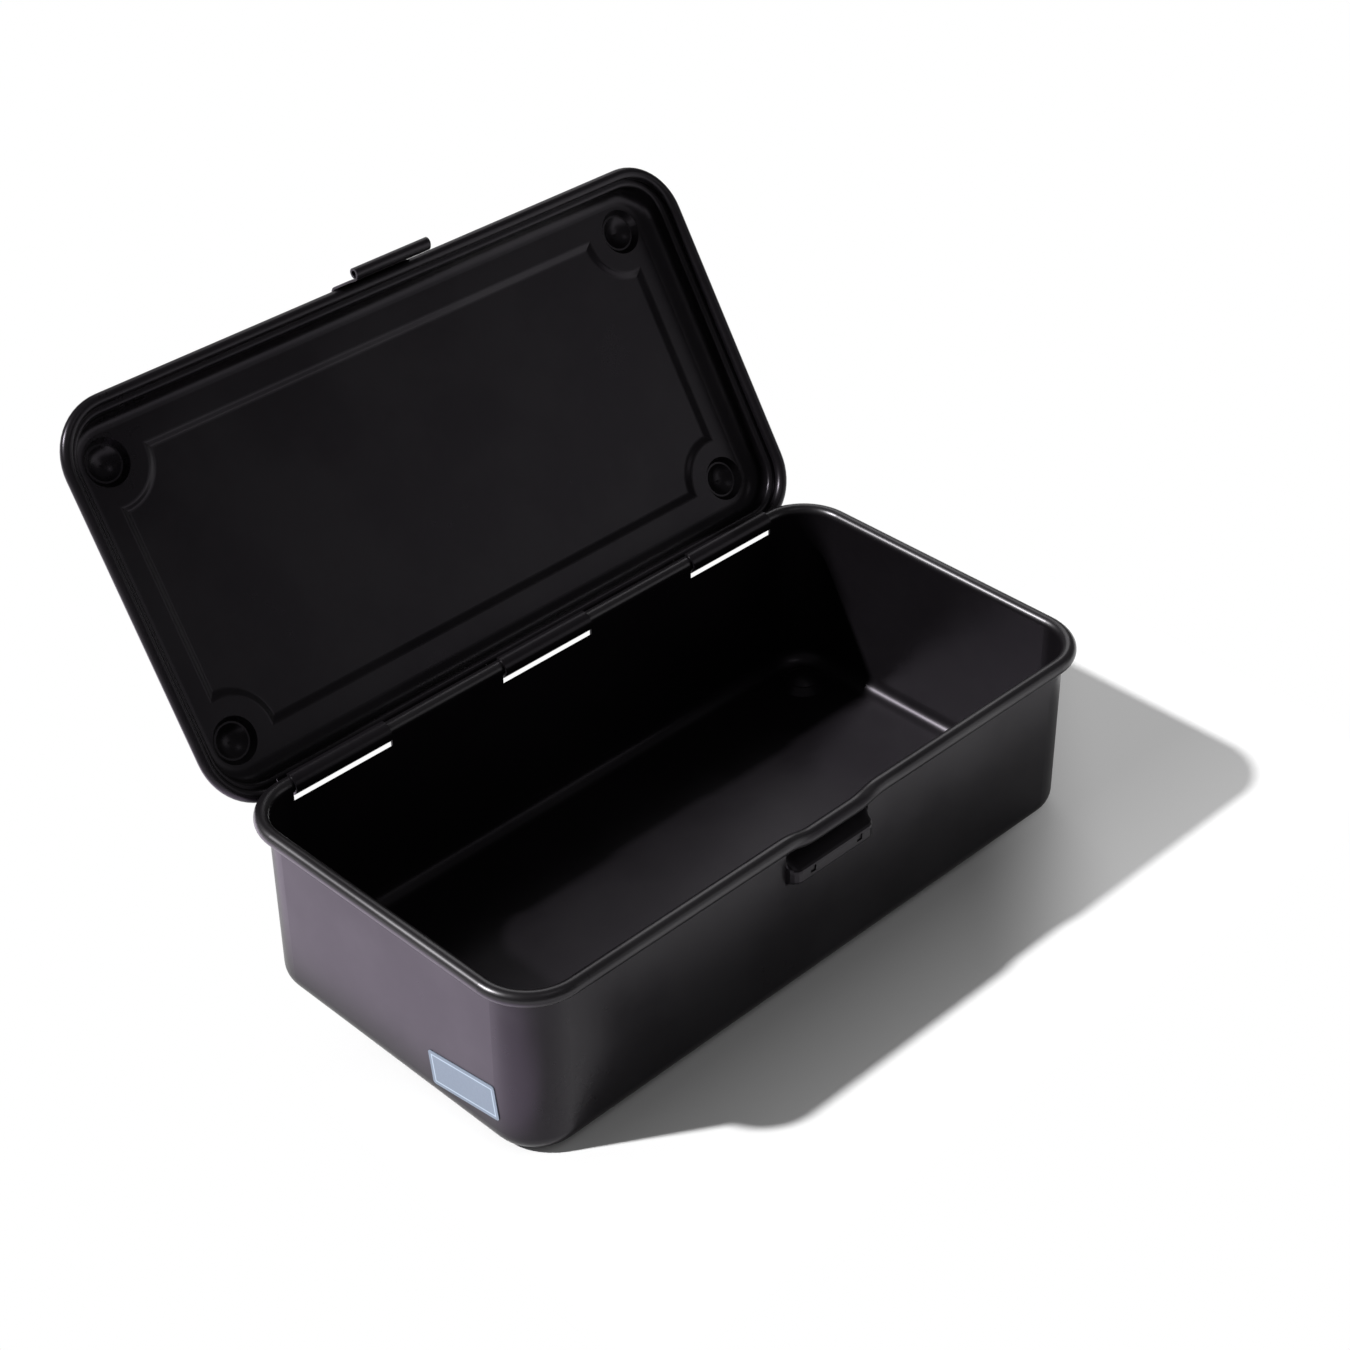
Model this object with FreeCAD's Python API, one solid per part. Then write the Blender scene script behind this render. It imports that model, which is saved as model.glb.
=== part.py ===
import FreeCAD, Part
import math
import os

# A small storage box of pressed steel sheet: tray, hinged lid, clasp tongue and label.
# Millimetres, +Z up. The origin is on the table under the middle of the tray.
# X runs from left to right and Y from front to rear. The lid is written in its open pose.

# Sheet
SHEET = 0.6

# Tray, measured over the walls
TRAY_LENGTH = 194.8
TRAY_DEPTH = 98.8
TRAY_HEIGHT = 51.8
WALL_CORNER = 12.5
FLOOR_BEND = 5.0
RIM_DIAMETER = 4.0
RIM_ROLL_ANGLE = 292.0

# Dip in the front rim, above the catch
DIP_DEPTH = 1.5
DIP_FLAT = 14.0
DIP_SLOPE = 10.0

# Catch pressed into the front wall: heights are below the middle of the rim
CATCH_LENGTH = 29.0
CATCH_END = 2.6
CATCH_TOP = 2.8
POCKET_DEPTH = 2.0
POCKET_TOP = 4.4
POCKET_LOW = 6.4
BAR_REACH = 3.2
BAR_TOP = 9.2
BAR_LOW = 13.0
CATCH_LOW = 13.8
CATCH_SOFTNESS = 0.7
CATCH_LAP = 1.0
DENT_SIZE = 1.8
DENT_DEPTH = 0.35
DENT_SPACING = 16.4
DENT_DROP = 10.6

# Stacking buttons, pressed up in the lid and in the floor
BUTTON_SPACING_X = 170.8
BUTTON_SPACING_Y = 73.8
BUTTON_DIAMETER = 12.2
BUTTON_FOOT = 1.6
BUTTON_FOOT_SLOPE = 53.0
BUTTON_LEDGE = 0.5
BUTTON_RISE = 3.2
STACKING_PLAY = 0.4

# Lid
LID_ROLL_DIAMETER = 3.2
LID_ROLL_ANGLE = 300.0
LID_OVERHANG = 0.5
LID_HEIGHT = 12.57
LID_BEND = 4.6
FLANGE_BEND = 0.8
PANEL_LENGTH = 174.8
PANEL_DEPTH = 76.4
PANEL_RISE = 0.8
PANEL_RUN = 2.4
PANEL_STEPS = 6
PANEL_NOTCH = 10.7
OPEN_ANGLE = 122.6

# Hinge: three tabs of the lid go over the rear rim, under it and back in through slots in the rear wall
TAB_LENGTH = 30.0
TAB_SPACING = 68.1
TAB_BEND = 1.4
TAB_WRAP_ANGLE = 165.0
SLOT_TOP = 0.2
SLOT_LOW = 4.1

# Clasp tongue, a strip fixed to the front of the lid's skirt
TONGUE_WIDTH = 24.0
TONGUE_LEG = 1.6
TONGUE_LIFT = 0.25
TONGUE_STEM = 7.7
TONGUE_TUCK_ANGLE = 4.0
TONGUE_TUCK_RUN = 2.4
TONGUE_FLARE_ANGLE = 52.0
TONGUE_FLARE_RUN = 0.4
TONGUE_BEND = 1.6
TONGUE_ROLL_DIAMETER = 2.8
TONGUE_ROLL_ANGLE = 280.0

# Label on the left end wall
LABEL_LENGTH = 23.3
LABEL_HEIGHT = 9.8
LABEL_THICKNESS = 0.2
LABEL_CORNER = 0.8
LABEL_FROM_FRONT = 23.4
LABEL_Z = 11.8
LABEL_TILT = -8.0

# Clearances
ROLL_GAP = 0.3
HINGE_GAP = 0.3
TAB_SIDE_GAP = 0.5
TAB_RELIEF = 0.2

# Sizes that follow from those above
HALF_SHEET = SHEET / 2
RIM_RADIUS = RIM_DIAMETER / 2
LID_ROLL_RADIUS = LID_ROLL_DIAMETER / 2
HINGE_Y = TRAY_DEPTH / 2 - SHEET + RIM_RADIUS
HINGE_Z = TRAY_HEIGHT - RIM_RADIUS
RIM_CORNER = WALL_CORNER - SHEET + RIM_RADIUS
CORNER_X = TRAY_LENGTH / 2 - WALL_CORNER
CORNER_Y = TRAY_DEPTH / 2 - WALL_CORNER
WALL_MIDDLE = WALL_CORNER - HALF_SHEET
FRONT_WALL = -TRAY_DEPTH / 2
PAN_TOP = HINGE_Z - RIM_RADIUS - DIP_DEPTH - SHEET
RIM_STRIP = PAN_TOP - SHEET - DIP_DEPTH
SKIRT_MIDDLE = RIM_CORNER - RIM_RADIUS - HINGE_GAP - HALF_SHEET
TAB_RADIUS = RIM_RADIUS + HINGE_GAP + HALF_SHEET
LID_ROLL_Z = HINGE_Z + math.sqrt((RIM_RADIUS + LID_ROLL_RADIUS + ROLL_GAP) ** 2 - LID_OVERHANG ** 2)
FLANGE_MIDDLE = LID_ROLL_Z + LID_ROLL_RADIUS - HALF_SHEET
BORDER_MIDDLE = HINGE_Z + LID_HEIGHT - HALF_SHEET

ORIGIN = FreeCAD.Vector()
ALONG_X = FreeCAD.Vector(1, 0, 0)
ALONG_Y = FreeCAD.Vector(0, 1, 0)
UP = FreeCAD.Vector(0, 0, 1)


def spot(centre, radius, degrees):
    """Point of the XZ plane at a distance and a direction from another point."""
    angle = math.radians(degrees)
    return centre + FreeCAD.Vector(radius * math.cos(angle), 0, radius * math.sin(angle))


def bent_sheet(start, heading, moves):
    """Face in the XZ plane of a sheet whose middle line makes runs (length) and bends (radius, degrees).

    A bend to the left is positive.
    """
    middle = FreeCAD.Vector(start[0], 0, start[1])
    first = [spot(middle, side * HALF_SHEET, heading + 90) for side in (1, -1)]
    faces = ([], [])
    for move in moves:
        if len(move) == 1:
            following = spot(middle, move[0], heading)
            for side, edges in zip((1, -1), faces):
                begin = spot(middle, side * HALF_SHEET, heading + 90)
                end = spot(following, side * HALF_SHEET, heading + 90)
                edges.append(Part.LineSegment(begin, end).toShape())
            middle = following
            continue
        radius, turn = move
        hand = math.copysign(1, turn)
        centre = spot(middle, radius, heading + 90 * hand)
        outward = heading - 90 * hand
        for side, edges in zip((1, -1), faces):
            reach = radius - side * hand * HALF_SHEET
            points = [spot(centre, reach, outward + share * turn) for share in (0, 0.5, 1)]
            edges.append(Part.Arc(*points).toShape())
        middle = spot(centre, radius, outward + turn)
        heading += turn
    last = [spot(middle, side * HALF_SHEET, heading + 90) for side in (1, -1)]
    caps = [Part.LineSegment(*first).toShape(), Part.LineSegment(*last).toShape()]
    edges = Part.__sortEdges__(faces[0] + faces[1] + caps)
    return Part.Face(Part.Wire(edges))


def turned(shape, base, axis, degrees):
    """Copy of a shape turned about an axis."""
    copy = shape.copy()
    copy.rotate(base, axis, degrees)
    return copy


def moved(shape, x, y, z):
    """Copy of a shape moved by a distance."""
    copy = shape.copy()
    copy.translate(FreeCAD.Vector(x, y, z))
    return copy


def joined(pieces):
    """One solid from pieces that touch or overlap."""
    return pieces[0].fuse(pieces[1:]).removeSplitter()


def box(x_low, x_high, y_low, y_high, z_low, z_high):
    """Block between two limits on each axis."""
    corner = FreeCAD.Vector(x_low, y_low, z_low)
    return Part.makeBox(x_high - x_low, y_high - y_low, z_high - z_low, corner)


def carried_round(section, with_front=True):
    """Solids of a section carried round the box: four corners and the straight sides between them.

    The section's X is its distance from the upright axis of a corner.
    """
    pieces = []
    corners = ((1, 1, CORNER_Y), (-1, 1, CORNER_X), (-1, -1, CORNER_Y), (1, -1, CORNER_X))
    for quarter, (side_x, side_y, half_side) in enumerate(corners):
        corner = FreeCAD.Vector(side_x * CORNER_X, side_y * CORNER_Y, 0)
        face = turned(section, ORIGIN, UP, 90 * quarter)
        face.translate(corner)
        pieces.append(face.revolve(corner, UP, 90))
        if with_front or quarter < 3:
            angle = math.radians(90 * quarter)
            backward = FreeCAD.Vector(math.sin(angle), -math.cos(angle), 0)
            pieces.append(face.extrude(backward * (2 * half_side)))
    return pieces


def dipped_front(section):
    """Solids of the rim section carried along the front, down into the dip and up again."""
    face = turned(section, ORIGIN, UP, 270)
    face.translate(FreeCAD.Vector(-CORNER_X, -CORNER_Y, 0))
    turn = 2 * math.degrees(math.atan(DIP_DEPTH / DIP_SLOPE))
    radius = DIP_SLOPE / (2 * math.sin(math.radians(turn)))
    straight = CORNER_X - DIP_FLAT / 2 - DIP_SLOPE
    low = HINGE_Z - DIP_DEPTH
    down_start = -CORNER_X + straight
    up_start = DIP_FLAT / 2
    up_end = up_start + DIP_SLOPE
    bends = (
        (down_start, HINGE_Z - radius, turn),
        (down_start + DIP_SLOPE, low + radius, -turn),
        (up_start, low + radius, -turn),
        (up_end, HINGE_Z - radius, turn),
    )
    pieces = []

    def run(length):
        pieces.append(face.extrude(ALONG_X * length))
        face.translate(ALONG_X * length)

    def bend(x, z, degrees):
        centre = FreeCAD.Vector(x, 0, z)
        pieces.append(face.revolve(centre, ALONG_Y, degrees))
        face.rotate(centre, ALONG_Y, degrees)

    run(straight)
    bend(*bends[0])
    bend(*bends[1])
    run(DIP_FLAT)
    bend(*bends[2])
    bend(*bends[3])
    run(straight)
    return pieces


def softened(points, setback):
    """Outline with each inner corner replaced by three points of a curve."""
    soft = [points[0]]
    for before, corner, after in zip(points, points[1:], points[2:]):
        begin = corner + (before - corner).normalize() * setback
        end = corner + (after - corner).normalize() * setback
        soft += [begin, (begin + end) * 0.25 + corner * 0.5, end]
    return soft + [points[-1]]


def set_in(points, distance):
    """Outline moved sideways, towards +Y for an outline that runs down the front wall."""
    sides = []
    for begin, end in zip(points, points[1:]):
        along = (end - begin).normalize()
        sides.append(FreeCAD.Vector(0, -along.z, along.y))
    before = [sides[0]] + sides
    after = sides + [sides[-1]]
    return [point + (a + b) * (distance / (1 + a.dot(b))) for point, a, b in zip(points, before, after)]


def catch_section(x, share):
    """Outline of the pressed sheet of the catch at one place along it, pressed to a share of its depth."""
    corners = (
        (0, CATCH_TOP - CATCH_LAP),
        (0, CATCH_TOP),
        (POCKET_DEPTH, POCKET_TOP),
        (POCKET_DEPTH, POCKET_LOW),
        (-BAR_REACH, BAR_TOP),
        (-BAR_REACH, BAR_LOW),
        (0, CATCH_LOW),
        (0, CATCH_LOW + CATCH_LAP),
    )
    outline = [FreeCAD.Vector(x, depth, HINGE_Z - drop) for depth, drop in corners]
    outer = softened(outline, CATCH_SOFTNESS)
    outer = [FreeCAD.Vector(x, FRONT_WALL + share * point.y, point.z) for point in outer]
    inner = set_in(outer, SHEET)
    ring = outer + inner[::-1]
    return Part.makePolygon(ring + ring[:1])


def catch():
    """Pressed sheet of the catch, with round ends that run out into the wall."""
    straight = CATCH_LENGTH / 2 - CATCH_END
    steps = [math.radians(90 * step / 4) for step in range(5)]
    right = [(straight + CATCH_END * math.cos(step), math.sin(step)) for step in steps]
    left = [(-x, share) for x, share in right]
    sections = [catch_section(x, share) for x, share in left + right[::-1]]
    sheet = Part.makeLoft(sections, True, True)
    face = FRONT_WALL - BAR_REACH
    half = DENT_SIZE / 2
    middle = HINGE_Z - DENT_DROP
    for x in (-DENT_SPACING / 2, DENT_SPACING / 2):
        dent = box(x - half, x + half, face - SHEET, face + DENT_DEPTH, middle - half, middle + half)
        sheet = sheet.cut(dent)
    return sheet


def button(spread, lift):
    """Round stud on z = 0 with a conical foot, a ledge and a domed top, made wider and higher."""
    ledge_z = BUTTON_FOOT + lift
    crown_z = BUTTON_RISE + lift
    base = BUTTON_DIAMETER / 2 + spread
    ledge = base - ledge_z / math.tan(math.radians(BUTTON_FOOT_SLOPE))
    dome = ledge - BUTTON_LEDGE
    dome_rise = BUTTON_RISE - BUTTON_FOOT
    radius = (dome ** 2 + dome_rise ** 2) / (2 * dome_rise)
    middle_z = crown_z - radius + math.sqrt(radius ** 2 - (dome / 2) ** 2)
    corners = [(0, 0), (base, 0), (ledge, ledge_z), (dome, ledge_z), (dome / 2, middle_z), (0, crown_z)]
    centre, foot, ledge_edge, dome_edge, middle, crown = [FreeCAD.Vector(x, 0, z) for x, z in corners]
    edges = [
        Part.LineSegment(centre, foot).toShape(),
        Part.LineSegment(foot, ledge_edge).toShape(),
        Part.LineSegment(ledge_edge, dome_edge).toShape(),
        Part.Arc(dome_edge, middle, crown).toShape(),
        Part.LineSegment(crown, centre).toShape(),
    ]
    return Part.Face(Part.Wire(edges)).revolve(ORIGIN, UP, 360)


def with_buttons(shell, sheet_low, play):
    """Shell with four hollow buttons pressed up from a sheet whose lower face is at a height."""
    skin = SHEET * math.tan(math.radians(BUTTON_FOOT_SLOPE / 2))
    outside = button(play + skin, play)
    hollow = button(play, play)
    for x in (-BUTTON_SPACING_X / 2, BUTTON_SPACING_X / 2):
        for y in (-BUTTON_SPACING_Y / 2, BUTTON_SPACING_Y / 2):
            shell = shell.fuse(moved(outside, x, y, sheet_low + SHEET))
            shell = shell.cut(moved(hollow, x, y, sheet_low))
    return shell


def tab_middles():
    """Middles of the three hinge tabs along X."""
    return (-TAB_SPACING, 0.0, TAB_SPACING)


def make_tray():
    """Drawn tray with a rolled rim, hinge slots, catch and stacking recesses."""
    floor_run = WALL_CORNER - FLOOR_BEND
    pan = bent_sheet((0, HALF_SHEET), 0, [
        (floor_run,),
        (FLOOR_BEND - HALF_SHEET, 90),
        (PAN_TOP - FLOOR_BEND,),
    ])
    rim = bent_sheet((WALL_MIDDLE, RIM_STRIP), 90, [
        (HINGE_Z - RIM_STRIP,),
        (RIM_RADIUS - HALF_SHEET, -RIM_ROLL_ANGLE),
    ])
    floor = box(-CORNER_X, CORNER_X, -CORNER_Y, CORNER_Y, 0, SHEET)
    tray = joined([floor] + carried_round(pan) + carried_round(rim, False) + dipped_front(rim))
    half = TAB_LENGTH / 2 + TAB_SIDE_GAP
    wall_out = TRAY_DEPTH / 2
    wall_in = wall_out - SHEET
    slot_low = HINGE_Z - SLOT_LOW
    slot_top = HINGE_Z - SLOT_TOP
    for x in tab_middles():
        slot = box(x - half, x + half, wall_in - SHEET, wall_out + SHEET / 4, slot_low, slot_top)
        tray = tray.cut(slot)
    half = CATCH_LENGTH / 2
    low = HINGE_Z - CATCH_LOW - CATCH_LAP
    high = HINGE_Z - CATCH_TOP + CATCH_LAP
    window = box(-half, half, FRONT_WALL, FRONT_WALL + SHEET, low, high)
    tray = tray.cut(window).fuse(catch())
    return with_buttons(tray, 0, STACKING_PLAY)


def panel(low, inset):
    """Raised panel with soft sloping sides and a round notch at each corner, standing on a height."""
    outlines = []
    for step in range(PANEL_STEPS + 1):
        share = step / PANEL_STEPS
        level = PANEL_RISE * (1 - math.cos(math.pi * share)) / 2
        shrink = inset + PANEL_RUN * share
        half_x = PANEL_LENGTH / 2 - shrink
        half_y = PANEL_DEPTH / 2 - shrink
        plate = box(-half_x, half_x, -half_y, half_y, 0, SHEET)
        for x in (-BUTTON_SPACING_X / 2, BUTTON_SPACING_X / 2):
            for y in (-BUTTON_SPACING_Y / 2, BUTTON_SPACING_Y / 2):
                notch = Part.makeCylinder(PANEL_NOTCH + shrink, SHEET, FreeCAD.Vector(x, y, 0))
                plate = plate.cut(notch)
        lowest = min(plate.Faces, key=lambda face: face.CenterOfMass.z)
        outlines.append(moved(lowest.OuterWire, 0, 0, low + level))
    return Part.makeLoft(outlines, True, True)


def make_lid():
    """Drawn lid in its closed place: border, panel, buttons, skirt, rolled flange and hinge tabs."""
    bend = LID_BEND - HALF_SHEET
    roll = LID_ROLL_RADIUS - HALF_SHEET
    skirt_run = BORDER_MIDDLE - bend - FLANGE_BEND - FLANGE_MIDDLE
    flange_run = RIM_CORNER + LID_OVERHANG - SKIRT_MIDDLE - FLANGE_BEND
    section = bent_sheet((0, BORDER_MIDDLE), 0, [
        (SKIRT_MIDDLE - bend,),
        (bend, -90),
        (skirt_run,),
        (FLANGE_BEND, 90),
        (flange_run,),
        (roll, -LID_ROLL_ANGLE),
    ])
    border_low = BORDER_MIDDLE - HALF_SHEET
    border_top = BORDER_MIDDLE + HALF_SHEET
    border = box(-CORNER_X, CORNER_X, -CORNER_Y, CORNER_Y, border_low, border_top)
    lid = joined([border] + carried_round(section))
    root = FLANGE_BEND - TAB_RADIUS
    tab = bent_sheet((root, FLANGE_MIDDLE), 0, [
        (TAB_RADIUS - TAB_BEND - root,),
        (TAB_BEND, -90),
        (FLANGE_MIDDLE - TAB_BEND - HINGE_Z,),
        (TAB_RADIUS, -TAB_WRAP_ANGLE),
    ])
    tab = turned(tab, ORIGIN, UP, 90)
    gap = TAB_LENGTH / 2 + TAB_RELIEF
    for x in tab_middles():
        relief = box(x - gap, x + gap, HINGE_Y + root, HINGE_Y + RIM_CORNER, HINGE_Z, FLANGE_MIDDLE + SHEET)
        start = moved(tab, x - TAB_LENGTH / 2, HINGE_Y, 0)
        lid = lid.cut(relief).fuse(start.extrude(ALONG_X * TAB_LENGTH))
    steepest = math.atan(math.pi / 2 * PANEL_RISE / PANEL_RUN)
    skin = SHEET * math.tan(steepest / 2)
    lid = lid.fuse(panel(border_top, 0)).cut(panel(border_low, skin))
    return with_buttons(lid, border_low, 0).removeSplitter()


def make_tongue():
    """Clasp strip in its closed place: leg on the skirt, over the flange, down past the rim, finger roll."""
    leg = SKIRT_MIDDLE + SHEET
    over = FLANGE_MIDDLE + SHEET + TONGUE_LIFT
    shoulder = over - LID_ROLL_Z
    start = over + FLANGE_BEND + TONGUE_LEG
    strip = bent_sheet((leg, start), -90, [
        (TONGUE_LEG,),
        (FLANGE_BEND, 90),
        (RIM_CORNER + LID_OVERHANG - leg - FLANGE_BEND,),
        (shoulder, -90),
        (TONGUE_STEM,),
        (TONGUE_BEND, -TONGUE_TUCK_ANGLE),
        (TONGUE_TUCK_RUN,),
        (TONGUE_BEND, TONGUE_TUCK_ANGLE + TONGUE_FLARE_ANGLE),
        (TONGUE_FLARE_RUN,),
        (TONGUE_ROLL_DIAMETER / 2 - HALF_SHEET, TONGUE_ROLL_ANGLE),
    ])
    strip = turned(strip, ORIGIN, UP, 270)
    strip.translate(FreeCAD.Vector(-TONGUE_WIDTH / 2, -CORNER_Y, 0))
    return strip.extrude(ALONG_X * TONGUE_WIDTH)


def make_label():
    """Plain sticker on the left end wall, a little askew."""
    half = LABEL_LENGTH / 2
    rise = LABEL_HEIGHT / 2
    label = box(-LABEL_THICKNESS, 0, -half, half, -rise, rise)
    corners = [edge for edge in label.Edges if abs(edge.tangentAt(edge.FirstParameter).x) > 0.5]
    label = label.makeFillet(LABEL_CORNER, corners)
    label.rotate(ORIGIN, ALONG_X, LABEL_TILT)
    return moved(label, -TRAY_LENGTH / 2, FRONT_WALL + LABEL_FROM_FRONT, LABEL_Z)


def opened(shape):
    """Copy of a lid piece swung from its closed place to its open one."""
    hinge = FreeCAD.Vector(0, HINGE_Y, HINGE_Z)
    return turned(shape, hinge, ALONG_X, -OPEN_ANGLE)


parts = {
    "tray": make_tray(),
    "lid": opened(make_lid()),
    "clasp_tongue": opened(make_tongue()),
    "label": make_label(),
}
os.makedirs("parts", exist_ok=True)
for name, shape in parts.items():
    shape.exportStep(os.path.join("parts", name + ".step"))
    limits = shape.BoundBox
    low = [round(limits.XMin, 2), round(limits.YMin, 2), round(limits.ZMin, 2)]
    high = [round(limits.XMax, 2), round(limits.YMax, 2), round(limits.ZMax, 2)]
    print(name, "solids", len(shape.Solids), "valid", shape.isValid(), "volume", round(shape.Volume))
    print(name, "from", low, "to", high)
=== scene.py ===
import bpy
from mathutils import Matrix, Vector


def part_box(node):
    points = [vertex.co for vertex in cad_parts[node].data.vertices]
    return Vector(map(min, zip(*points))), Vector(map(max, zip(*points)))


bl_info = {
    "name": "Hinged Steel Box Finish",
    "version": (1, 0, 0),
    "blender": (4, 5, 0),
    "location": "3D View > Sidebar > Steel Box",
    "description": "Paints the hinged steel box, finishes its label and sets the stage",
    "category": "Object",
}

import math

import bmesh
import bpy
from bpy.props import FloatProperty, FloatVectorProperty, PointerProperty
from mathutils import Matrix, Vector

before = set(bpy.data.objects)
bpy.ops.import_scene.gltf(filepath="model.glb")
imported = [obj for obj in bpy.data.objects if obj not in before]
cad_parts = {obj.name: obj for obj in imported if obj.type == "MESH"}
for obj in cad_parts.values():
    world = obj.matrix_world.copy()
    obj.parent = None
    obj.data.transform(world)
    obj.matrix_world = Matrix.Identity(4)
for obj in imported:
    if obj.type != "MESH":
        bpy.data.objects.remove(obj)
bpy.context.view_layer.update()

# Where the rolled edges start: on the tray above a height, on the open lid past a tilted plane.
UP = (0.0, 0.0, 1.0)
RIM_FOOT = 0.0500
LID_UP = (0.0, -0.842, 0.539)
LID_ROLL_FOOT = -0.0189
RUB_FADE = 0.0008

# The pattern in the paint, and where each piece lies in it.
NOISE_MIDDLE = 0.5  # what a noise gives on average
CLOUD_SIZE = 0.030
CLOUD_SHARE = 0.7
SPECK_SIZE = 0.0025
SPECK_ROUGHNESS = 0.05
SMUDGE_FADE = 0.15
CLEAN_SHINE = 0.7  # the share of a rubbed edge's shine that needs no smudge
TRAY_SHIFT = (0.0, 0.0, 0.0)
LID_SHIFT = (0.31, 0.17, 0.43)
TONGUE_SHIFT = (0.62, 0.71, 0.19)

# The label's film.
LINE_BLUR = 0.00008
GRAIN_SIZE = 0.0006
GRAIN_HEIGHT = 0.00001
GRAIN_STRENGTH = 0.3
FILM_ROUGHNESS = 0.5
FILM_UNEVENNESS = 0.2
FILM_GLOSS = 0.1

# The floor from above: the patch that holds the shadow, and the strip that glows as a painted
# reflection in the paint.
FLOOR_REACH = 15  # so wide that no view shows its edge
TRAY_FRONT = -0.052
FAR_RIGHT = 0.134  # counted as x - y, slanting across the shadow
FAR_RIGHT_FADE = 0.030
SHADOW_LEFT = -0.103
SHADOW_RIGHT = 0.157
SHADOW_FRONT = -0.093
SHADOW_REAR = 0.006
SHADOW_MARGIN = 0.008
SHADOW_FADE = 0.012
GLEAM_NEAR = -0.104
GLEAM_NEAR_FADE = 0.006
GLEAM_FAR = -0.165
GLEAM_FAR_FADE = 0.035
GLEAM_FRONT = -0.072
GLEAM_FRONT_FADE = 0.02

CAMERA_FRAME = 36.0  # the width in millimetres that the lens goes with


class PaintSettings(bpy.types.PropertyGroup):
    """The satin black paint on every steel piece."""

    colour: FloatVectorProperty(
        name="Colour", description="The paint's body colour",
        subtype="COLOR", default=(0.0045, 0.0039, 0.0047), min=0, max=1)
    haze: FloatVectorProperty(
        name="Haze", description="The colour of the faint clouds in the paint",
        subtype="COLOR", default=(0.0083, 0.0071, 0.0086), min=0, max=1)
    roughness: FloatProperty(
        name="Roughness", description="How far the paint blurs what it mirrors",
        subtype="FACTOR", default=0.31, min=0, max=1)
    unevenness: FloatProperty(
        name="Unevenness", description="How much the roughness changes from cloud to cloud",
        subtype="FACTOR", default=0.18, min=0, max=1)
    gloss: FloatProperty(
        name="Gloss", description="How strongly the paint mirrors what it faces",
        subtype="FACTOR", default=0.25, min=0, max=1)
    tint: FloatVectorProperty(
        name="Tint", description="The colour that the paint gives to what it mirrors head on",
        subtype="COLOR", default=(0.95, 0.86, 1.0), min=0, max=1)
    lacquer: FloatProperty(
        name="Lacquer", description="The weight of the clear top film where it is thickest",
        subtype="FACTOR", default=0.13, min=0, max=1)
    rub: FloatProperty(
        name="Rub", description="The weight of the shine that handling gives the rolled edges",
        subtype="FACTOR", default=1.0, min=0, max=1)
    lid_rub: FloatProperty(
        name="Lid rub", description="The same for the lid's edge, which is handled less",
        subtype="FACTOR", default=0.15, min=0, max=1)
    rub_blur: FloatProperty(
        name="Rub blur", description="How far the shine and the top film blur what they mirror",
        subtype="FACTOR", default=0.34, min=0, max=1)
    peel_size: FloatProperty(
        name="Peel size", description="The width of the small pimples that sprayed paint dries to",
        unit="LENGTH", default=0.0006, min=0.0001)
    peel_height: FloatProperty(
        name="Peel height", description="How far the small pimples stand up",
        unit="LENGTH", default=0.0000015, min=0)
    wave_size: FloatProperty(
        name="Wave size", description="The width of the slow waves in the pressed sheet",
        unit="LENGTH", default=0.034, min=0.001)
    wave_height: FloatProperty(
        name="Wave height", description="How far the slow waves stand up",
        unit="LENGTH", default=0.00016, min=0)


class LabelSettings(bpy.types.PropertyGroup):
    """The plain film label on the left end of the tray."""

    ground: FloatVectorProperty(
        name="Ground", description="The colour of the film",
        subtype="COLOR", default=(0.205, 0.243, 0.308), min=0, max=1)
    fibre: FloatVectorProperty(
        name="Fibre", description="The colour of the film's grain",
        subtype="COLOR", default=(0.250, 0.296, 0.371), min=0, max=1)
    line: FloatVectorProperty(
        name="Line", description="The colour of the printed border line",
        subtype="COLOR", default=(0.46, 0.54, 0.65), min=0, max=1)
    margin: FloatProperty(
        name="Margin", description="From the edge of the film to the middle of the border line",
        unit="LENGTH", default=0.0011, min=0)
    line_width: FloatProperty(
        name="Line width", description="The width of the border line",
        unit="LENGTH", default=0.00035, min=0)
    length: FloatProperty(
        name="Length", description="The film's length", unit="LENGTH", default=0.0234, min=0)
    height: FloatProperty(
        name="Height", description="The film's height", unit="LENGTH", default=0.0100, min=0)
    tilt: FloatProperty(
        name="Tilt", description="How far the film is stuck on askew", subtype="ANGLE",
        default=math.radians(-8))


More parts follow.
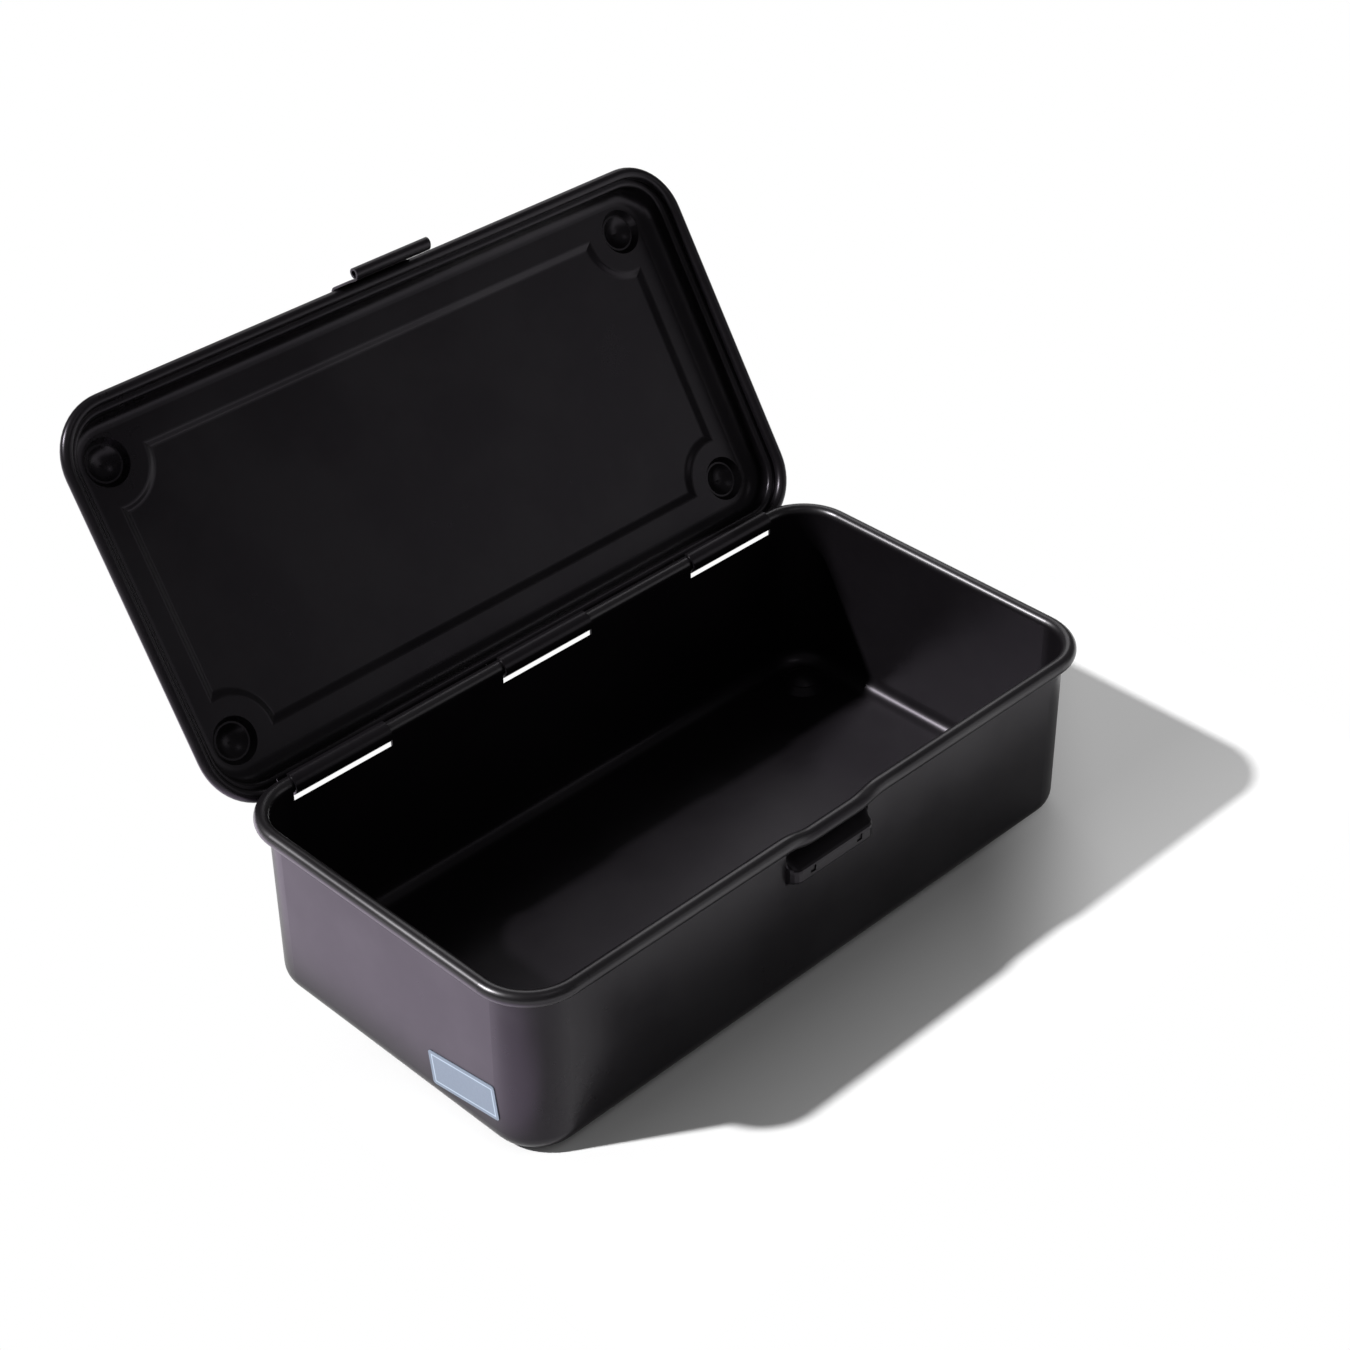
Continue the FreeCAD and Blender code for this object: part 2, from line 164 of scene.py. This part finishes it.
class StageSettings(bpy.types.PropertyGroup):
    """The floor, the light and the camera."""

    floor_colour: FloatVectorProperty(
        name="Floor", description="The colour of the floor",
        subtype="COLOR", default=(0.97, 0.97, 0.97), min=0, max=1)
    # Painted light on the floor: these three lift the shadow towards white for the camera.
    painted_lift_near: FloatProperty(
        name="Lift near", description="How far the floor is lifted towards white beside the box",
        subtype="FACTOR", default=0.006, min=0, max=1)
    painted_lift_far: FloatProperty(
        name="Lift far", description="How far the floor is lifted towards white off to the right",
        subtype="FACTOR", default=0.26, min=0, max=1)
    painted_lift_gain: FloatProperty(
        name="Lift gain", description="How much the lift grows for each metre away from the front",
        default=2.7, min=0)
    # Painted reflection: a glowing strip of floor that only mirror images see.
    painted_gleam: FloatProperty(
        name="Paper gleam", description="How bright the paper near the lamp looks in the paint",
        default=2.55, min=0)
    painted_gleam_colour: FloatVectorProperty(
        name="Gleam colour", description="The colour of that paper in the paint",
        subtype="COLOR", default=(0.94, 0.83, 1.0), min=0, max=1)
    sun: FloatProperty(
        name="Sun", description="The strength of the one hard lamp", default=4.3, min=0)
    sun_angle: FloatProperty(
        name="Sun angle", description="How wide the lamp looks, which softens the shadow's edge",
        subtype="ANGLE", default=math.radians(2.4))
    sun_travel: FloatVectorProperty(
        name="Sun travel", description="The way the light goes",
        subtype="DIRECTION", default=(0.916, -0.58, -1.0))
    card_far: FloatProperty(
        name="Card distance", description="How far off the white cards stand", unit="LENGTH",
        default=1.2, min=0.1)
    card_size: FloatProperty(
        name="Card size", description="The width of a white card", unit="LENGTH",
        default=0.6, min=0.01)
    front_way: FloatVectorProperty(
        name="Front card", description="The way to the card that the lid mirrors",
        subtype="DIRECTION", default=(0.64, -0.71, 0.29))
    front_glow: FloatProperty(
        name="Front glow", description="How bright the front card is", default=0.62, min=0)
    rear_way: FloatVectorProperty(
        name="Rear card", description="The way to the card that the tray's bottom mirrors",
        subtype="DIRECTION", default=(0.54, 0.55, 0.64))
    rear_glow: FloatProperty(
        name="Rear glow", description="How bright the rear card is", default=1.3, min=0)
    lamp_way: FloatVectorProperty(
        name="Small lamp", description="The way to the small lamp that puts a spot in each button",
        subtype="DIRECTION", default=(-0.01, -0.40, 0.91))
    lamp_size: FloatProperty(
        name="Small lamp size", description="The width of the small lamp", unit="LENGTH",
        default=0.25, min=0.01)
    lamp_glow: FloatProperty(
        name="Small lamp glow", description="How bright the small lamp is", default=1.2, min=0)
    room: FloatProperty(
        name="Room", description="The strength of the dim room all round", default=0.13, min=0)
    lens: FloatProperty(
        name="Lens", description="The focal length on a 36 mm frame", subtype="DISTANCE_CAMERA",
        default=73.69, min=1)
    camera_place: FloatVectorProperty(
        name="Camera place", description="Where the camera stands", subtype="XYZ", unit="LENGTH",
        default=(-0.38836, -0.39124, 0.45868))
    camera_right: FloatVectorProperty(
        name="Camera right", description="The way that is right in the picture",
        subtype="DIRECTION", default=(0.7076, -0.7065, -0.0077))
    camera_aim: FloatVectorProperty(
        name="Camera aim", description="The way the camera looks",
        subtype="DIRECTION", default=(0.572, 0.5792, -0.5809))


class BoxSettings(bpy.types.PropertyGroup):
    """All the settings of the steel box."""

    paint: PointerProperty(type=PaintSettings)
    label: PointerProperty(type=LabelSettings)
    stage: PointerProperty(type=StageSettings)


class Value:
    """A number that a node gives out. Sums written with it add Math nodes."""

    def __init__(self, tree, socket):
        self.tree = tree
        self.socket = socket

    def maths(self, operation, *values):
        """What a Math node makes of the values."""
        inputs = dict(enumerate(values))
        return self.tree.add("ShaderNodeMath", {"operation": operation}, inputs)

    def __add__(self, other):
        return self.maths("ADD", self, other)

    def __radd__(self, other):
        return self.maths("ADD", other, self)

    def __sub__(self, other):
        return self.maths("SUBTRACT", self, other)

    def __rsub__(self, other):
        return self.maths("SUBTRACT", other, self)

    def __mul__(self, other):
        return self.maths("MULTIPLY", self, other)

    def __rmul__(self, other):
        return self.maths("MULTIPLY", other, self)

    def __abs__(self):
        return self.maths("ABSOLUTE", self)

    def beside(self, name):
        """Another number that the same node gives out."""
        return Value(self.tree, self.socket.node.outputs[name])

    def at_least(self, other):
        """This or the other, whichever is more."""
        return self.maths("MAXIMUM", self, other)

    def under(self, limit, softness):
        """1 where this is below the limit, 0 above it, with a soft step between."""
        settings = {"interpolation_type": "SMOOTHSTEP"}
        inputs = {"Value": self, "From Min": limit + softness, "From Max": limit - softness}
        return self.tree.add("ShaderNodeMapRange", settings, inputs)


class Tree:
    """The nodes of one material or of the world."""

    def __init__(self, owner):
        owner.use_nodes = True
        self.nodes = owner.node_tree.nodes
        self.links = owner.node_tree.links
        self.nodes.clear()

    def add(self, kind, settings=None, inputs=None, output=0):
        """A node of that kind, with its settings made first, and the socket it gives out."""
        node = self.nodes.new(kind)
        for name, value in (settings or {}).items():
            setattr(node, name, value)
        for name, value in (inputs or {}).items():
            if isinstance(value, Value):
                self.links.new(value.socket, node.inputs[name])
            else:
                node.inputs[name].default_value = value
        return Value(self, node.outputs[output]) if len(node.outputs) else node

    def noise(self, place, size, detail):
        """Clouds about that size, from 0 to 1."""
        inputs = {"Vector": place, "Scale": 1 / size, "Detail": detail}
        return self.add("ShaderNodeTexNoise", None, inputs)

    def along(self, place, way):
        """How far a place lies that way."""
        settings = {"operation": "DOT_PRODUCT"}
        return self.add("ShaderNodeVectorMath", settings, {0: place, 1: way}, "Value")

    def mix(self, share, first, second):
        """One colour turning into another."""
        inputs = {0: share, 6: first, 7: second}
        return self.add("ShaderNodeMix", {"data_type": "RGBA"}, inputs, 2)


def opaque(colour):
    """A colour with nothing showing through, as a colour socket takes it."""
    return (*colour, 1.0)


def satin_paint(name, settings, shift, rub, rub_way, rub_from):
    """Sprayed black paint on pressed sheet: clouds of haze, fine peel, slow waves and a thin
    lacquer, shinier past a plane where hands and the other half of the box rub it."""
    material = bpy.data.materials.new(name)
    tree = Tree(material)
    surface = tree.add("ShaderNodeTexCoord", output="Object")
    place = tree.add("ShaderNodeMapping", None, {"Vector": surface, "Location": shift})
    clouds = tree.noise(place, CLOUD_SIZE, detail=4.0)
    specks = tree.noise(place, SPECK_SIZE, detail=2.0)
    peel = tree.noise(place, settings.peel_size, detail=1.0)
    waves = tree.noise(place, settings.wave_size, detail=0.0)
    hazy = clouds * CLOUD_SHARE + specks * (1 - CLOUD_SHARE)
    colour = tree.mix(hazy, opaque(settings.colour), opaque(settings.haze))
    roughness = settings.roughness + (clouds - NOISE_MIDDLE) * settings.unevenness
    roughness = roughness + (specks - NOISE_MIDDLE) * SPECK_ROUGHNESS
    smudges = 1 - clouds.under(NOISE_MIDDLE, SMUDGE_FADE)
    rubbed = 1 - tree.along(surface, rub_way).under(rub_from, RUB_FADE)
    rubbed = rubbed * (CLEAN_SHINE + smudges * (1 - CLEAN_SHINE)) * rub
    height = waves * (settings.wave_height / settings.peel_height) + peel
    normal = tree.add("ShaderNodeBump", None, {
        "Distance": settings.peel_height, "Height": height})
    shader = tree.add("ShaderNodeBsdfPrincipled", None, {
        "Base Color": colour, "Roughness": roughness, "Normal": normal,
        "Specular IOR Level": settings.gloss, "Specular Tint": opaque(settings.tint),
        "Coat Weight": (smudges * settings.lacquer).at_least(rubbed),
        "Coat Roughness": settings.rub_blur})
    tree.add("ShaderNodeOutputMaterial", None, {"Surface": shader})
    return material


def white_paper(name, settings):
    """Paper that keeps the box's shadow, lightened by painted light, and is white all round it,
    also in mirror images; a strip of it glows as a painted reflection.
    """
    material = bpy.data.materials.new(name)
    tree = Tree(material)
    camera = tree.add("ShaderNodeLightPath", output="Is Camera Ray")
    glossy = camera.beside("Is Glossy Ray")
    seen = camera.at_least(glossy).at_least(camera.beside("Is Transmission Ray"))
    place = tree.add("ShaderNodeTexCoord", output="Object")
    x = tree.add("ShaderNodeSeparateXYZ", None, {0: place}, "X")
    y = x.beside("Y")
    # Painted light: for the camera the shadow is lifted towards white, more to the right and away
    # from the tray's front.
    right = 1 - (x - y).under(FAR_RIGHT, FAR_RIGHT_FADE)
    lift = settings.painted_lift_near + right * (settings.painted_lift_far - settings.painted_lift_near)
    lift = lift + ((TRAY_FRONT - y) * settings.painted_lift_gain).at_least(0.0)
    # Outside its patch the paper is white.
    outside = (x - SHADOW_RIGHT).at_least(SHADOW_LEFT - x)
    outside = outside.at_least(SHADOW_FRONT - y).at_least(y - SHADOW_REAR)
    around = 1 - outside.under(SHADOW_MARGIN, SHADOW_FADE)
    # The painted lift shows to the camera only; the white all round shows in mirror images too.
    lift = (camera * lift).at_least(seen * around)
    # Painted reflection: a strip on the lamp's side of the box glows past white for mirror rays
    # only, and the paint's left end mirrors it as a bright sheen.
    strip = x.under(GLEAM_NEAR, GLEAM_NEAR_FADE) * (1 - x.under(GLEAM_FAR, GLEAM_FAR_FADE))
    strip = strip * (1 - y.under(GLEAM_FRONT, GLEAM_FRONT_FADE))
    paper = tree.add("ShaderNodeBsdfDiffuse", None, {"Color": opaque(settings.floor_colour)})
    white = tree.add("ShaderNodeEmission", None, {"Strength": 1.0})
    gleam = tree.add("ShaderNodeEmission", None, {
        "Color": opaque(settings.painted_gleam_colour), "Strength": settings.painted_gleam})
    lifted = tree.add("ShaderNodeMixShader", None, {0: lift, 1: paper, 2: white})
    look = tree.add("ShaderNodeMixShader", None, {0: glossy * strip, 1: lifted, 2: gleam})
    tree.add("ShaderNodeOutputMaterial", None, {"Surface": look})
    return material


def finish_node(node, material):
    """Gives a solid of the frame its finish."""
    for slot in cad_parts[node].material_slots:
        slot.material = material


def hang_card(context, name, place, size, glow):
    """A square that glows evenly and faces the box. The camera itself does not see it."""
    lamp = bpy.data.lights.new(name, "AREA")
    lamp.size = size
    lamp.energy = glow * math.pi * size ** 2  # a flat lamp's power for that glow
    card = bpy.data.objects.new(name, lamp)
    card.location = place
    card.rotation_euler = (-place).to_track_quat("-Z", "Y").to_euler()
    card.visible_camera = False
    context.scene.collection.objects.link(card)


class BOX_OT_tray(bpy.types.Operator):
    """Paint the tray"""

    bl_idname = "steel_box.tray"
    bl_label = "Paint the Tray"

    def execute(self, context):
        paint = context.scene.steel_box.paint
        finish = satin_paint("tray_paint", paint, TRAY_SHIFT, paint.rub, UP, RIM_FOOT)
        finish_node("tray", finish)
        return {"FINISHED"}


class BOX_OT_lid(bpy.types.Operator):
    """Paint the lid"""

    bl_idname = "steel_box.lid"
    bl_label = "Paint the Lid"

    def execute(self, context):
        paint = context.scene.steel_box.paint
        finish = satin_paint("lid_paint", paint, LID_SHIFT, paint.lid_rub, LID_UP, LID_ROLL_FOOT)
        finish_node("lid", finish)
        return {"FINISHED"}


class BOX_OT_tongue(bpy.types.Operator):
    """Paint the clasp tongue"""

    bl_idname = "steel_box.tongue"
    bl_label = "Paint the Clasp Tongue"

    def execute(self, context):
        paint = context.scene.steel_box.paint
        finish = satin_paint(
            "tongue_paint", paint, TONGUE_SHIFT, paint.lid_rub, LID_UP, LID_ROLL_FOOT)
        finish_node("clasp_tongue", finish)
        return {"FINISHED"}


class BOX_OT_label(bpy.types.Operator):
    """Finish the plain label"""

    bl_idname = "steel_box.label"
    bl_label = "Finish the Label"

    def execute(self, context):
        settings = context.scene.steel_box.label
        material = bpy.data.materials.new("label_film")
        tree = Tree(material)
        place = tree.add("ShaderNodeTexCoord", output="Object")
        low, high = (Vector(corner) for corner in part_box("label"))
        place = tree.add("ShaderNodeMapping", {"vector_type": "TEXTURE"}, {
            "Vector": place, "Location": (low + high) / 2, "Rotation": (settings.tilt, 0.0, 0.0)})
        split = tree.add("ShaderNodeSeparateXYZ", None, {0: place}, "Y")
        past_end = abs(split) - settings.length / 2
        past_side = abs(split.beside("Z")) - settings.height / 2
        inset = past_end.at_least(past_side)
        line = abs(inset + settings.margin).under(settings.line_width / 2, LINE_BLUR)
        grain = tree.noise(place, GRAIN_SIZE, detail=2.0)
        ground = tree.mix(grain, opaque(settings.ground), opaque(settings.fibre))
        bump = tree.add("ShaderNodeBump", None, {
            "Strength": GRAIN_STRENGTH, "Distance": GRAIN_HEIGHT, "Height": grain})
        shader = tree.add("ShaderNodeBsdfPrincipled", None, {
            "Base Color": tree.mix(line, ground, opaque(settings.line)), "Normal": bump,
            "Roughness": FILM_ROUGHNESS + (grain - NOISE_MIDDLE) * FILM_UNEVENNESS,
            "Specular IOR Level": FILM_GLOSS})
        tree.add("ShaderNodeOutputMaterial", None, {"Surface": shader})
        finish_node("label", material)
        return {"FINISHED"}


class BOX_OT_stage(bpy.types.Operator):
    """Lay the floor and set up the light and the camera"""

    bl_idname = "steel_box.stage"
    bl_label = "Set the Stage"

    def execute(self, context):
        settings = context.scene.steel_box.stage
        self.lay_floor(context, settings)
        self.set_light(context, settings)
        self.set_camera(context, settings)
        context.scene.view_settings.view_transform = "Standard"
        return {"FINISHED"}

    def lay_floor(self, context, settings):
        mesh = bpy.data.meshes.new("floor")
        shape = bmesh.new()
        bmesh.ops.create_grid(shape, x_segments=1, y_segments=1, size=FLOOR_REACH)
        shape.to_mesh(mesh)
        shape.free()
        floor = bpy.data.objects.new("floor", mesh)
        context.scene.collection.objects.link(floor)
        mesh.materials.append(white_paper("floor_paper", settings))

    def set_light(self, context, settings):
        lamp = bpy.data.lights.new("sun", "SUN")
        lamp.energy = settings.sun
        lamp.angle = settings.sun_angle
        sun = bpy.data.objects.new("sun", lamp)
        sun.rotation_euler = Vector(settings.sun_travel).to_track_quat("-Z", "Y").to_euler()
        context.scene.collection.objects.link(sun)
        for name, way, size, glow in (
                ("front_card", settings.front_way, settings.card_size, settings.front_glow),
                ("rear_card", settings.rear_way, settings.card_size, settings.rear_glow),
                ("lamp", settings.lamp_way, settings.lamp_size, settings.lamp_glow)):
            hang_card(context, name, Vector(way) * settings.card_far, size, glow)
        world = bpy.data.worlds.new("room")
        tree = Tree(world)
        air = tree.add("ShaderNodeBackground", None, {"Strength": settings.room})
        tree.add("ShaderNodeOutputWorld", None, {"Surface": air})
        context.scene.world = world

    def set_camera(self, context, settings):
        lens = bpy.data.cameras.new("camera")
        lens.lens = settings.lens
        lens.sensor_width = CAMERA_FRAME
        camera = bpy.data.objects.new("camera", lens)
        back = -Vector(settings.camera_aim).normalized()
        right = Vector(settings.camera_right).normalized()
        up = back.cross(right).normalized()
        right = up.cross(back)
        turn = Matrix((right, up, back)).transposed().to_4x4()
        camera.matrix_world = Matrix.Translation(settings.camera_place) @ turn
        context.scene.collection.objects.link(camera)
        context.scene.camera = camera


class BOX_PT_panel(bpy.types.Panel):
    """The steps and settings of the steel box"""

    bl_idname = "BOX_PT_panel"
    bl_label = "Steel Box"
    bl_space_type = "VIEW_3D"
    bl_region_type = "UI"
    bl_category = "Steel Box"

    def draw(self, context):
        settings = context.scene.steel_box
        for step in STEPS:
            self.layout.operator(step.bl_idname)
        for group in (settings.paint, settings.label, settings.stage):
            box = self.layout.box()
            for name in group.__annotations__:
                box.prop(group, name)


STEPS = (BOX_OT_tray, BOX_OT_lid, BOX_OT_tongue, BOX_OT_label, BOX_OT_stage)
CLASSES = (PaintSettings, LabelSettings, StageSettings, BoxSettings, *STEPS, BOX_PT_panel)


def register():
    for kind in CLASSES:
        bpy.utils.register_class(kind)
    bpy.types.Scene.steel_box = PointerProperty(type=BoxSettings)


def unregister():
    del bpy.types.Scene.steel_box
    for kind in reversed(CLASSES):
        bpy.utils.unregister_class(kind)


def main():
    register()
    bpy.ops.steel_box.tray()
    bpy.ops.steel_box.lid()
    bpy.ops.steel_box.tongue()
    bpy.ops.steel_box.label()
    bpy.ops.steel_box.stage()


if __name__ == "__main__":
    main()
